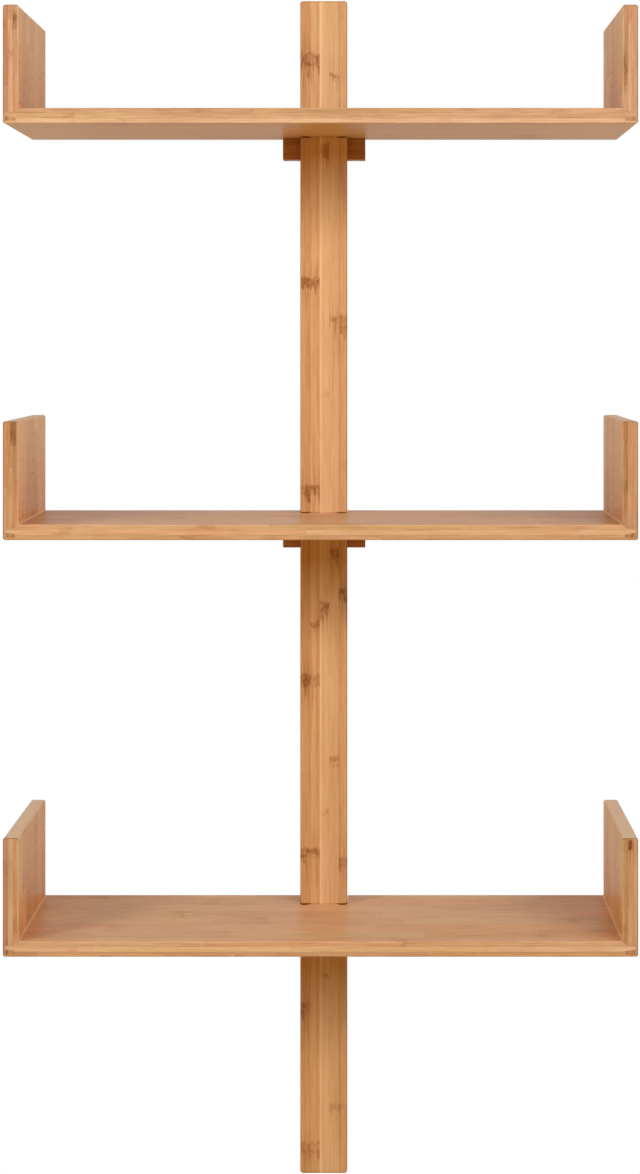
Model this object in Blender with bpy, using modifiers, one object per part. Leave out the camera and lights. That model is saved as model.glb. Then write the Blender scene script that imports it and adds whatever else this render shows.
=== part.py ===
"""Wall shelf in laminated bamboo: three open trays, notched over one upright post.

The origin is the centre of the middle cleat's back face, where the shelf meets the wall.
+X runs to the right, +Y into the wall and +Z up. All lengths are in metres.
"""

import math

import bmesh
import bpy
from mathutils import Matrix, Vector

# Trays: a board between two end panels
TRAY_WIDTH = 0.610
TRAY_DEPTH = 0.150
TRAY_PITCH = 0.400
PANEL_HEIGHT = 0.115  # underside of the board to the top of its end panels
PANEL_THICKNESS = 0.015
BOARD_THICKNESS = 0.015
CORNER_RADIUS = 0.0025  # corners of the tray's outline, seen from the front
COVE_RADIUS = 0.0012  # inside corner between board and panel
RIM_RADIUS = 0.0018  # front and back edges all along the outline

# Lock mitre between board and panel. Each point gives a share of the panel's thickness,
# from its outer face, and a share of the board's thickness, from its underside.
LOCK_MITRE = (
    (1.00, 1.00),
    (0.77, 0.77),
    (0.17, 0.72),
    (0.17, 0.49),
    (0.83, 0.37),
    (0.83, 0.17),
    (0.17, 0.17),
    (0.00, 0.00),
)

# Post
POST_WIDTH = 0.048
POST_THICKNESS = 0.016
POST_LENGTH = 1.200
POST_ABOVE_BOARD = 0.125  # top of the upper board to the top of the post
POST_EDGE_RADIUS = 0.003

# Rear notch of a board, with the router's overcut in both front corners
OVERCUT_DIAMETER = 0.010
OVERCUT_REACH = 0.0025  # how far the overcut runs in front of the notch

# Cleats that carry the boards and meet the wall
CLEAT_WIDTH = 0.085
CLEAT_DEPTH = 0.016
CLEAT_HEIGHT = 0.021
CLEAT_EDGE_RADIUS = 0.0015

# Keyhole plates, sunk flush in the back of the upper and lower cleats
PLATE_WIDTH = 0.044
PLATE_HEIGHT = 0.016
PLATE_THICKNESS = 0.002
PLATE_CORNER_RADIUS = 0.003
KEYHOLE_HEAD_DIAMETER = 0.008
KEYHOLE_SLOT_WIDTH = 0.0042
KEYHOLE_HEAD_DROP = 0.0028  # centre of the plate down to the centre of the head hole
KEYHOLE_SLOT_RISE = 0.0034  # centre of the plate up to the centre of the slot's end
HEAD_POCKET_WIDTH = 0.0096
HEAD_POCKET_DEPTH = 0.0055  # behind the plate, where the wall screw's head slides

# Countersunk wood screws
SCREW_DIAMETER = 0.004
SCREW_HEAD_DIAMETER = 0.0078
SCREW_HEAD_RIM = 0.0003
SCREW_POINT_LENGTH = 0.005
RECESS_ARM = 0.0042
RECESS_WIDTH = 0.0009
RECESS_DEPTH = 0.0014
BOARD_SCREW_LENGTH = 0.030
BOARD_SCREW_OFFSET = 0.033  # from the post's centre line
POST_SCREW_LENGTH = 0.025
POST_SCREW_OFFSET = 0.016

# Clearances
SEAT_GAP = 0.0003  # between faces that rest on each other
JOINT_GAP = 0.0003  # glue line of the lock mitres
NOTCH_CLEARANCE = 0.0003
PLATE_CLEARANCE = 0.0003
SCREW_CLEARANCE = 0.0003

# Faceting
OUTLINE_ARC_STEPS = 4
RIM_STEPS = 3
EDGE_STEPS = 3
TURNED_STEPS = 16
ROUND_HOLE_STEPS = 32
RIM_ANGLE = math.radians(60)  # sharper edges than this are rounded
FLAT_ANGLE = math.radians(0.5)
WELD_DISTANCE = 0.00001
CUT_MARGIN = 0.005  # how far a cutter runs past the faces that it cuts

# Places that follow from the sizes above. A level's own origin is its cleat's back centre.
BOARD_UNDERSIDE = CLEAT_HEIGHT / 2 + SEAT_GAP
BOARD_TOP = BOARD_UNDERSIDE + BOARD_THICKNESS
POST_BACK = -CLEAT_DEPTH - SEAT_GAP
POST_FRONT = POST_BACK - POST_THICKNESS
POST_TOP = TRAY_PITCH + BOARD_TOP + POST_ABOVE_BOARD
NOTCH_FRONT = POST_FRONT - NOTCH_CLEARANCE
NOTCH_HALF_WIDTH = POST_WIDTH / 2 + NOTCH_CLEARANCE
LEVEL_HEIGHTS = {"upper": TRAY_PITCH, "middle": 0.0, "lower": -TRAY_PITCH}
HUNG_LEVELS = ("upper", "lower")
SIDES = {"left": -1, "right": 1}

BAMBOO_FINISH = {"roughness": 0.45, "metallic": 0.0}
STEEL_FINISH = {"roughness": 0.35, "metallic": 1.0}
MATERIALS = {
    "bamboo_board": {"color": (0.64, 0.38, 0.19, 1.0), **BAMBOO_FINISH},
    "bamboo_panel": {"color": (0.56, 0.32, 0.17, 1.0), **BAMBOO_FINISH},
    "bamboo_post": {"color": (0.62, 0.36, 0.17, 1.0), **BAMBOO_FINISH},
    "bamboo_cleat": {"color": (0.40, 0.20, 0.09, 1.0), **BAMBOO_FINISH},
    "zinc_plate": {"color": (0.62, 0.62, 0.60, 1.0), **STEEL_FINISH},
    "screw_steel": {"color": (0.66, 0.61, 0.48, 1.0), **STEEL_FINISH},
}


def clear_scene():
    for leftover in list(bpy.data.objects):
        bpy.data.objects.remove(leftover, do_unlink=True)


def new_collection(name):
    collection = bpy.data.collections.new(name)
    bpy.context.scene.collection.children.link(collection)
    return collection


def new_material(name):
    values = MATERIALS[name]
    material = bpy.data.materials.new(name)
    material.use_nodes = True
    shader = material.node_tree.nodes["Principled BSDF"]
    shader.inputs["Base Color"].default_value = values["color"]
    shader.inputs["Roughness"].default_value = values["roughness"]
    shader.inputs["Metallic"].default_value = values["metallic"]
    material.diffuse_color = values["color"]
    return material


class Bench:
    """The collections and materials, and the ways a piece or a cutter is put on them."""

    def __init__(self):
        self.parts = new_collection("wall_shelf")
        self.cutters = new_collection("wall_shelf_cutters")
        self.materials = {name: new_material(name) for name in MATERIALS}

    def place(self, name, mesh, collection, parent, location, rotation):
        item = bpy.data.objects.new(name, mesh)
        item.parent = parent
        item.location = location
        item.rotation_euler = rotation
        collection.objects.link(item)
        return item

    def empty(self, name, location):
        return self.place(name, None, self.parts, None, location, (0, 0, 0))

    def part(self, name, mesh, material, parent=None, location=(0, 0, 0), rotation=(0, 0, 0)):
        piece = self.place(name, mesh, self.parts, parent, location, rotation)
        if not mesh.materials:
            mesh.materials.append(self.materials[material])
        return piece

    def cutter(self, name, mesh, parent=None, location=(0, 0, 0), rotation=(0, 0, 0)):
        tool = self.place(name, mesh, self.cutters, parent, location, rotation)
        tool.hide_render = True
        tool.display_type = "WIRE"
        return tool


def box_mesh(name, low, high):
    """Box between two opposite corners."""
    low = Vector(low)
    high = Vector(high)
    work = bmesh.new()
    frame = Matrix.Translation((low + high) / 2) @ Matrix.Diagonal((*(high - low), 1))
    bmesh.ops.create_cube(work, size=1, matrix=frame)
    return mesh_from(name, work)


def rod_mesh(name, diameter, length, tilt=0.0):
    """Round bar centred on its own origin, along Z unless it is tilted about X."""
    work = bmesh.new()
    bmesh.ops.create_cone(
        work,
        cap_ends=True,
        segments=ROUND_HOLE_STEPS,
        radius1=diameter / 2,
        radius2=diameter / 2,
        depth=length,
    )
    mesh = mesh_from(name, work)
    mesh.transform(Matrix.Rotation(tilt, 4, "X"))
    return mesh


def mesh_from(name, work):
    mesh = bpy.data.meshes.new(name)
    work.to_mesh(mesh)
    work.free()
    return mesh


def rounded_outline(corners):
    """Closed outline with a quarter arc at each right-angled (x, z, radius) corner."""
    outline = []
    for index, (x, z, radius) in enumerate(corners):
        corner = Vector((x, z))
        before = Vector(corners[index - 1][:2]) - corner
        after = Vector(corners[(index + 1) % len(corners)][:2]) - corner
        before.normalize()
        after.normalize()
        centre = corner + radius * (before + after)
        for step in range(OUTLINE_ARC_STEPS + 1):
            angle = math.pi / 2 * step / OUTLINE_ARC_STEPS
            outline.append(centre - radius * (after * math.cos(angle) + before * math.sin(angle)))
    return outline


def offset_line(points, distance):
    """Open line moved sideways by a distance, to the right of its own direction."""
    normals = []
    for start, end in zip(points, points[1:]):
        along = (end - start).normalized()
        normals.append(Vector((along.y, -along.x)))
    moved = []
    for index, point in enumerate(points):
        before = normals[max(index - 1, 0)]
        after = normals[min(index, len(normals) - 1)]
        moved.append(point + (before + after) * distance / (1 + before.dot(after)))
    return moved


def extruded_mesh(name, outline, front, back):
    """Solid between two depths, from a closed outline of (x, z) points."""
    curve = bpy.data.curves.new(name, "CURVE")
    curve.dimensions = "2D"
    curve.fill_mode = "BOTH"
    curve.extrude = (back - front) / 2
    spline = curve.splines.new("POLY")
    spline.points.add(len(outline) - 1)
    for point, (x, z) in zip(spline.points, outline):
        point.co = (x, z, 0, 1)
    spline.use_cyclic_u = True
    holder = bpy.data.objects.new(name, curve)
    bpy.context.scene.collection.objects.link(holder)
    evaluated = holder.evaluated_get(bpy.context.evaluated_depsgraph_get())
    mesh = bpy.data.meshes.new_from_object(evaluated)
    bpy.data.objects.remove(holder)
    bpy.data.curves.remove(curve)
    work = bmesh.new()
    work.from_mesh(mesh)
    bpy.data.meshes.remove(mesh)
    bmesh.ops.remove_doubles(work, verts=work.verts, dist=WELD_DISTANCE)
    bmesh.ops.dissolve_limit(work, angle_limit=FLAT_ANGLE, verts=work.verts, edges=work.edges)
    middle = Matrix.Translation((0, (front + back) / 2, 0))
    bmesh.ops.transform(work, matrix=middle @ Matrix.Rotation(math.pi / 2, 4, "X"), verts=work.verts)
    bmesh.ops.recalc_face_normals(work, faces=work.faces)
    return mesh_from(name, work)


def profile_mesh(name, profile):
    """Open line of (radius, height) points, for a Screw modifier to turn about Z."""
    mesh = bpy.data.meshes.new(name)
    edges = [(index, index + 1) for index in range(len(profile) - 1)]
    mesh.from_pydata([(radius, 0, height) for radius, height in profile], edges, [])
    return mesh


def turn_about_axis(item):
    turning = item.modifiers.new("turning", "SCREW")
    turning.axis = "Z"
    turning.steps = TURNED_STEPS
    turning.render_steps = TURNED_STEPS
    turning.use_merge_vertices = True
    turning.merge_threshold = WELD_DISTANCE


def round_edges(item, radius, steps):
    rounding = item.modifiers.new("rounding", "BEVEL")
    rounding.width = radius
    rounding.segments = steps
    rounding.limit_method = "ANGLE"
    rounding.angle_limit = RIM_ANGLE


def cut(item, tool, operation="DIFFERENCE"):
    cutting = item.modifiers.new(tool.name, "BOOLEAN")
    cutting.operation = operation
    cutting.solver = "EXACT"
    cutting.object = tool


def screw_profile(length, clearance=0.0, above=0.0):
    """Countersunk screw from its head down. The clearance widens it into its own hole."""
    head = SCREW_HEAD_DIAMETER / 2
    shank = SCREW_DIAMETER / 2
    neck = SCREW_HEAD_RIM + head - shank
    profile = [
        (0, above),
        (head + clearance, above),
        (head + clearance, -SCREW_HEAD_RIM),
        (shank + clearance, -neck),
    ]
    if clearance:
        profile.append((shank + clearance, -length - clearance))
        profile.append((0, -length - clearance))
    else:
        profile.append((shank, SCREW_POINT_LENGTH - length))
        profile.append((0, -length))
    return profile


def cross_outline():
    """Cross-shaped driver recess, as a closed outline."""
    arm = RECESS_ARM / 2
    waist = RECESS_WIDTH / 2
    quarter = [Vector((arm, -waist)), Vector((arm, waist)), Vector((waist, waist))]
    outline = []
    for turn in range(4):
        rotation = Matrix.Rotation(math.pi / 2 * turn, 2)
        outline.extend(rotation @ point for point in quarter)
    return outline


class ScrewKit:
    """Meshes that all screws of one length share, and the way one is driven in."""

    def __init__(self, bench, name, length):
        self.bench = bench
        self.screw_mesh = profile_mesh(name, screw_profile(length))
        self.hole_mesh = profile_mesh(name + "_hole", screw_profile(length, SCREW_CLEARANCE, CUT_MARGIN))
        recess = extruded_mesh(name + "_recess", cross_outline(), -CUT_MARGIN, RECESS_DEPTH)
        recess.transform(Matrix.Rotation(-math.pi / 2, 4, "X"))
        self.recess_mesh = recess

    def drive(self, name, parent, location, rotation, through):
        """One screw, with its head at the location, and its hole through the given pieces."""
        screw = self.bench.part(name, self.screw_mesh, "screw_steel", parent, location, rotation)
        turn_about_axis(screw)
        cut(screw, self.bench.cutter(name + "_recess", self.recess_mesh, parent, location, rotation))
        hole = self.bench.cutter(name + "_hole", self.hole_mesh, parent, location, rotation)
        turn_about_axis(hole)
        for piece in through:
            cut(piece, hole)


def tray_outline():
    """Board and both end panels as one outline, seen from the front."""
    outer = TRAY_WIDTH / 2
    inner = outer - PANEL_THICKNESS
    rim = BOARD_UNDERSIDE + PANEL_HEIGHT
    right_half = [
        (outer, BOARD_UNDERSIDE, CORNER_RADIUS),
        (outer, rim, CORNER_RADIUS),
        (inner, rim, CORNER_RADIUS),
        (inner, BOARD_TOP, COVE_RADIUS),
    ]
    left_half = [(-x, z, radius) for x, z, radius in reversed(right_half)]
    return rounded_outline(right_half + left_half)


def lock_line(side, distance):
    """Joint line from inside corner to outside corner, moved towards the panel by a distance."""
    steps = [Vector((u * PANEL_THICKNESS, v * BOARD_THICKNESS)) for u, v in LOCK_MITRE]
    margin = Vector((CUT_MARGIN, CUT_MARGIN))
    steps[0] = steps[0] + margin
    steps[-1] = steps[-1] - margin
    moved = offset_line(steps, distance)
    return [Vector((side * (TRAY_WIDTH / 2 - p.x), BOARD_UNDERSIDE + p.y)) for p in moved]


def panel_region(side):
    """Everything on the panel's side of the lock mitre."""
    line = lock_line(side, JOINT_GAP / 2)
    above = BOARD_UNDERSIDE + PANEL_HEIGHT + CUT_MARGIN
    return line + [Vector((line[-1].x, above)), Vector((line[0].x, above))]


def board_region():
    """Everything between the two lock mitres."""
    left = lock_line(SIDES["left"], -JOINT_GAP / 2)
    right = lock_line(SIDES["right"], -JOINT_GAP / 2)
    return left + list(reversed(right))


class TrayKit:
    """Meshes that the three trays share."""

    def __init__(self, bench):
        self.bench = bench
        front = -TRAY_DEPTH - CUT_MARGIN
        back = CUT_MARGIN
        outline = tray_outline()
        self.board_mesh = extruded_mesh("board", outline, -TRAY_DEPTH, 0)
        self.panel_mesh = extruded_mesh("panel", outline, -TRAY_DEPTH, 0)
        self.board_region_mesh = extruded_mesh("board_region", board_region(), front, back)
        self.panel_region_meshes = {
            side: extruded_mesh(side + "_panel_region", panel_region(sign), front, back)
            for side, sign in SIDES.items()
        }
        self.notch_mesh = box_mesh(
            "notch",
            (-NOTCH_HALF_WIDTH, NOTCH_FRONT, BOARD_UNDERSIDE - CUT_MARGIN),
            (NOTCH_HALF_WIDTH, CUT_MARGIN, BOARD_TOP + CUT_MARGIN),
        )
        self.overcut_mesh = rod_mesh("overcut", OVERCUT_DIAMETER, BOARD_THICKNESS + 2 * CUT_MARGIN)

    def shape(self, piece, region_name, region_mesh, level):
        """Rounded edges all round the tray, then the piece's own share of it."""
        round_edges(piece, RIM_RADIUS, RIM_STEPS)
        cut(piece, self.bench.cutter(region_name, region_mesh, level), "INTERSECT")

    def board(self, level_name, level):
        name = level_name + "_board"
        board = self.bench.part(name, self.board_mesh, "bamboo_board", level)
        self.shape(board, name + "_region", self.board_region_mesh, level)
        cut(board, self.bench.cutter(name + "_notch", self.notch_mesh, level))
        for side, sign in SIDES.items():
            centre = (
                sign * (NOTCH_HALF_WIDTH - OVERCUT_DIAMETER / 2),
                NOTCH_FRONT + OVERCUT_DIAMETER / 2 - OVERCUT_REACH,
                (BOARD_UNDERSIDE + BOARD_TOP) / 2,
            )
            overcut = self.bench.cutter(f"{name}_{side}_overcut", self.overcut_mesh, level, centre)
            cut(board, overcut)
        return board

    def panel(self, level_name, side, level):
        name = f"{level_name}_{side}_panel"
        panel = self.bench.part(name, self.panel_mesh, "bamboo_panel", level)
        self.shape(panel, name + "_region", self.panel_region_meshes[side], level)
        return panel


def add_post(bench):
    post = bench.part(
        "post",
        box_mesh(
            "post",
            (-POST_WIDTH / 2, POST_FRONT, POST_TOP - POST_LENGTH),
            (POST_WIDTH / 2, POST_BACK, POST_TOP),
        ),
        "bamboo_post",
    )
    round_edges(post, POST_EDGE_RADIUS, EDGE_STEPS)
    return post


def cleat_mesh():
    return box_mesh(
        "cleat",
        (-CLEAT_WIDTH / 2, -CLEAT_DEPTH, -CLEAT_HEIGHT / 2),
        (CLEAT_WIDTH / 2, 0, CLEAT_HEIGHT / 2),
    )


def rounded_rectangle(width, low, high, radius):
    """Closed outline, upright on its centre line."""
    half = width / 2
    return rounded_outline(
        [(half, low, radius), (half, high, radius), (-half, high, radius), (-half, low, radius)]
    )


def slot_outline(width, low, high):
    """Upright slot with round ends, whose end arcs are centred at two heights."""
    radius = width / 2
    return rounded_rectangle(width, low - radius, high + radius, radius)


class PlateKit:
    """Meshes that both keyhole plates share."""

    def __init__(self, bench):
        self.bench = bench
        half = PLATE_HEIGHT / 2
        grow = PLATE_CLEARANCE
        seat = -PLATE_THICKNESS - PLATE_CLEARANCE
        self.plate_mesh = extruded_mesh(
            "hanger_plate",
            rounded_rectangle(PLATE_WIDTH, -half, half, PLATE_CORNER_RADIUS),
            -PLATE_THICKNESS,
            0,
        )
        self.seat_mesh = extruded_mesh(
            "plate_seat",
            rounded_rectangle(
                PLATE_WIDTH + 2 * grow, -half - grow, half + grow, PLATE_CORNER_RADIUS + grow
            ),
            seat,
            CUT_MARGIN,
        )
        self.pocket_mesh = extruded_mesh(
            "head_pocket",
            slot_outline(HEAD_POCKET_WIDTH, -KEYHOLE_HEAD_DROP, KEYHOLE_SLOT_RISE),
            seat - HEAD_POCKET_DEPTH,
            CUT_MARGIN,
        )
        self.slot_mesh = extruded_mesh(
            "keyhole_slot",
            slot_outline(KEYHOLE_SLOT_WIDTH, -KEYHOLE_HEAD_DROP, KEYHOLE_SLOT_RISE),
            -PLATE_THICKNESS - CUT_MARGIN,
            CUT_MARGIN,
        )
        self.head_hole_mesh = rod_mesh(
            "keyhole_head", KEYHOLE_HEAD_DIAMETER, 2 * CUT_MARGIN, tilt=math.pi / 2
        )

    def fit(self, level_name, level, cleat):
        """Plate in its seat, with the pocket for the wall screw's head behind it."""
        name = level_name + "_hanger_plate"
        cut(cleat, self.bench.cutter(name + "_seat", self.seat_mesh, level))
        cut(cleat, self.bench.cutter(name + "_pocket", self.pocket_mesh, level))
        plate = self.bench.part(name, self.plate_mesh, "zinc_plate", level)
        cut(plate, self.bench.cutter(name + "_slot", self.slot_mesh, level))
        head_centre = (0, -PLATE_THICKNESS / 2, -KEYHOLE_HEAD_DROP)
        cut(plate, self.bench.cutter(name + "_head", self.head_hole_mesh, level, head_centre))
        return plate


def main():
    clear_scene()
    bench = Bench()
    trays = TrayKit(bench)
    plates = PlateKit(bench)
    board_screws = ScrewKit(bench, "board_screw", BOARD_SCREW_LENGTH)
    post_screws = ScrewKit(bench, "post_screw", POST_SCREW_LENGTH)
    shared_cleat_mesh = cleat_mesh()
    post = add_post(bench)
    head_down = (math.pi, 0, 0)
    head_back = (-math.pi / 2, 0, 0)

    for level_name, height in LEVEL_HEIGHTS.items():
        level = bench.empty(level_name + "_level", (0, 0, height))
        board = trays.board(level_name, level)
        cleat = bench.part(level_name + "_cleat", shared_cleat_mesh, "bamboo_cleat", level)
        round_edges(cleat, CLEAT_EDGE_RADIUS, EDGE_STEPS)
        screwed_to_post = [cleat, post]
        if level_name in HUNG_LEVELS:
            screwed_to_post.append(plates.fit(level_name, level, cleat))
        for side, sign in SIDES.items():
            trays.panel(level_name, side, level)
            board_screws.drive(
                f"{level_name}_board_screw_{side}",
                level,
                (sign * BOARD_SCREW_OFFSET, -CLEAT_DEPTH / 2, -CLEAT_HEIGHT / 2),
                head_down,
                [cleat, board],
            )
            post_screws.drive(
                f"{level_name}_post_screw_{side}",
                level,
                (sign * POST_SCREW_OFFSET, 0, 0),
                head_back,
                screwed_to_post,
            )


main()
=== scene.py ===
"""Looks of the bamboo wall shelf: refined pieces, bamboo and metal finishes, studio and camera.

Lengths are in metres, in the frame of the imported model: +Z up, +Y into the wall, and the
origin at the centre of the middle cleat's back face.
"""

import math

import bmesh
import bpy
from mathutils import Matrix, Vector


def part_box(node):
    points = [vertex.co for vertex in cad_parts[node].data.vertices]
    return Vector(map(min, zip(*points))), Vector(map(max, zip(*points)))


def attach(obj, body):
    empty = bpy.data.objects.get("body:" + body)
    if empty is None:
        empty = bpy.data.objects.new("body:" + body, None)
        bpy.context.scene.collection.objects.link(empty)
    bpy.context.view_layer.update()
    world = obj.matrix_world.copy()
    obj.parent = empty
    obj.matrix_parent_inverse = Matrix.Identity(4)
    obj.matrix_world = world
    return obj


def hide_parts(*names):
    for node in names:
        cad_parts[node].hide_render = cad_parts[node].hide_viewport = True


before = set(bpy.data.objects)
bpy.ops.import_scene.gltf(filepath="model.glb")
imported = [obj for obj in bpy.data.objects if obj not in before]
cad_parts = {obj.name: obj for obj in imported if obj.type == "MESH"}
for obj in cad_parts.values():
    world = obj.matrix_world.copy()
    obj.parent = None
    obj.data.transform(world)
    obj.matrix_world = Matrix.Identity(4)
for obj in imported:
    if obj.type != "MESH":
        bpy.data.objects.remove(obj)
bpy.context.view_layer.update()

BODY = "root"

# Photograph, in pixels, and the camera that it gives
PHOTO_WIDTH = 640
PHOTO_HEIGHT = 1174
AXIS_PIXEL_X = 372.3  # column straight ahead of the level camera
AXIS_PIXEL_Y = 337.8  # row of the horizon
FOCAL_PIXELS = 1865.8
SENSOR = 36.0
CAMERA_PLACE = Vector((0.0497, -1.9403, 0.2059))

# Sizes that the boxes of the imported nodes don't show
BOARD_THICKNESS = 0.015
PANEL_THICKNESS = 0.015
CORNER_RADIUS = 0.0025
COVE_RADIUS = 0.0012
RIM_RADIUS = 0.0018
POST_EDGE_RADIUS = 0.003
CLEAT_EDGE_RADIUS = 0.0008
NOTCH_CLEARANCE = 0.0001
CLEAT_GAP = 0.00005
OVERCUT_DIAMETER = 0.010
OVERCUT_REACH = 0.0025
JOINT_GAP = 0.00012

# Joint line of the lock mitre, in parts of both thicknesses, from the inside to the outside
LOCK_MITRE = (
    (1.00, 1.00),
    (0.77, 0.77),
    (0.17, 0.72),
    (0.17, 0.49),
    (0.83, 0.37),
    (0.83, 0.17),
    (0.17, 0.17),
    (0.00, 0.00),
)

# Keyhole plates and screws
PLATE_CORNER_RADIUS = 0.003
PLATE_EDGE_RADIUS = 0.0003
KEYHOLE_HEAD_DIAMETER = 0.008
KEYHOLE_SLOT_WIDTH = 0.0042
KEYHOLE_HEAD_DROP = 0.0028
KEYHOLE_SLOT_RISE = 0.0034
HEAD_POCKET_WIDTH = 0.0096
HEAD_POCKET_DEPTH = 0.0055
HARDWARE_CLEARANCE = 0.0003
SCREW_DIAMETER = 0.004
SCREW_SHANK_DIAMETER = 0.0034
SCREW_ROOT_DIAMETER = 0.0028
SCREW_HEAD_DIAMETER = 0.0078
SCREW_HEAD_RIM = 0.0003
SCREW_EDGE = 0.0001
SCREW_POINT_LENGTH = 0.005
BOARD_SCREW_LENGTH = 0.030
POST_SCREW_LENGTH = 0.025
THREAD_START = 0.004
THREAD_PITCH = 0.0018
THREAD_RIDGE_SHARE = 0.5
RECESS_ARM = 0.0042
RECESS_WIDTH = 0.0009
RECESS_DEPTH = 0.0014

# Fineness of the rounded forms
ARC_STEPS = 8
RIM_STEPS = 5
PLATE_EDGE_STEPS = 3
ROUND_STEPS = 48
THREAD_TURN_STEPS = 24
THREAD_PITCH_STEPS = 8
RIM_ANGLE = math.radians(60)
SMOOTH_ANGLE = math.radians(30)
CUT_MARGIN = 0.005
WELD_DISTANCE = 0.000001

LEVELS = ("upper", "middle", "lower")
HUNG_LEVELS = ("upper", "lower")
SIDES = {"left": -1, "right": 1}
LEVEL_PITCH = 0.4


# Meshes


def link(name, data):
    item = bpy.data.objects.new(name, data)
    bpy.context.scene.collection.objects.link(item)
    return item


def item_from(name, work):
    """Object with the mesh that was worked on."""
    mesh = bpy.data.meshes.new(name)
    work.to_mesh(mesh)
    work.free()
    return link(name, mesh)


def taken_mesh(item):
    """Mesh of an object that isn't needed itself."""
    mesh = item.data
    bpy.data.objects.remove(item)
    return mesh


def box(name, low, high):
    """Box between two opposite corners."""
    low = Vector(low)
    high = Vector(high)
    work = bmesh.new()
    matrix = Matrix.Translation((low + high) / 2) @ Matrix.Diagonal((*(high - low), 1))
    bmesh.ops.create_cube(work, size=1, matrix=matrix)
    return item_from(name, work)


def rounded_outline(corners):
    """Closed outline with a quarter arc at each right-angled (x, z, radius) corner."""
    outline = []
    for index, (x, z, radius) in enumerate(corners):
        corner = Vector((x, z))
        before = (Vector(corners[index - 1][:2]) - corner).normalized()
        after = (Vector(corners[(index + 1) % len(corners)][:2]) - corner).normalized()
        centre = corner + radius * (before + after)
        for step in range(ARC_STEPS + 1):
            angle = math.pi / 2 * step / ARC_STEPS
            outline.append(centre - radius * (after * math.cos(angle) + before * math.sin(angle)))
    return outline


def offset_line(points, distance):
    """Open line moved sideways by a distance, to the right of its own direction."""
    normals = []
    for start, end in zip(points, points[1:]):
        along = (end - start).normalized()
        normals.append(Vector((along.y, -along.x)))
    moved = []
    for index, point in enumerate(points):
        before = normals[max(index - 1, 0)]
        after = normals[min(index, len(normals) - 1)]
        moved.append(point + (before + after) * distance / (1 + before.dot(after)))
    return moved


def prism(name, outline, front, back):
    """Solid between two depths, from a closed outline of (x, z) points."""
    work = bmesh.new()
    corners = [work.verts.new((x, front, z)) for x, z in outline]
    face = work.faces.new(corners)
    made = bmesh.ops.extrude_face_region(work, geom=[face])
    moved = [item for item in made["geom"] if isinstance(item, bmesh.types.BMVert)]
    bmesh.ops.translate(work, verts=moved, vec=(0, back - front, 0))
    bmesh.ops.remove_doubles(work, verts=work.verts, dist=WELD_DISTANCE)
    bmesh.ops.recalc_face_normals(work, faces=work.faces)
    return item_from(name, work)


def rod(name, diameter, low, high):
    """Upright round bar between two heights."""
    work = bmesh.new()
    bmesh.ops.create_cone(
        work,
        cap_ends=True,
        segments=ROUND_STEPS,
        radius1=diameter / 2,
        radius2=diameter / 2,
        depth=high - low,
        matrix=Matrix.Translation((0, 0, (low + high) / 2)),
    )
    return item_from(name, work)


def ringed(name, depths, radius_at, steps, tip):
    """Solid about the Z axis, from its flat top down to a tip.

    The radius is a function of the depth and of the turn, which goes from 0 to 1.
    """
    work = bmesh.new()
    rings = []
    for depth in depths:
        ring = []
        for step in range(steps):
            turn = step / steps
            radius = radius_at(depth, turn)
            angle = 2 * math.pi * turn
            place = (radius * math.cos(angle), radius * math.sin(angle), -depth)
            ring.append(work.verts.new(place))
        rings.append(ring)
    work.faces.new(rings[0])
    for upper, lower in zip(rings, rings[1:]):
        for step in range(steps):
            after = (step + 1) % steps
            work.faces.new((upper[step], upper[after], lower[after], lower[step]))
    point = work.verts.new((0, 0, -tip))
    for step in range(steps):
        work.faces.new((rings[-1][step], rings[-1][(step + 1) % steps], point))
    bmesh.ops.recalc_face_normals(work, faces=work.faces)
    return item_from(name, work)


def round_edges(item, radius, steps):
    rounding = item.modifiers.new("rounding", "BEVEL")
    rounding.width = radius
    rounding.segments = steps
    rounding.limit_method = "ANGLE"
    rounding.angle_limit = RIM_ANGLE


def cut(item, *tools, operation="DIFFERENCE"):
    for tool in tools:
        cutting = item.modifiers.new("cut", "BOOLEAN")
        cutting.operation = operation
        cutting.solver = "EXACT"
        cutting.object = tool


def shade_evenly(item):
    item.modifiers.new("even_shading", "WEIGHTED_NORMAL").keep_sharp = True


def settle(item, tools):
    """Applies the piece's modifiers, removes its tools and shades its round parts smooth."""
    evaluated = item.evaluated_get(bpy.context.evaluated_depsgraph_get())
    mesh = bpy.data.meshes.new_from_object(evaluated)
    item.modifiers.clear()
    item.data = mesh
    for tool in tools:
        bpy.data.objects.remove(tool)
    mesh.shade_smooth()
    mesh.set_sharp_from_angle(angle=SMOOTH_ANGLE)
    shade_evenly(item)
    return item


def dress(item, slot, *nodes):
    """Finish, slot and body of a piece, and the CAD nodes that it stands for."""
    item.data.materials.clear()
    item.data.materials.append(MATERIALS[slot])
    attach(item, BODY)
    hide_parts(*nodes)


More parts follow.
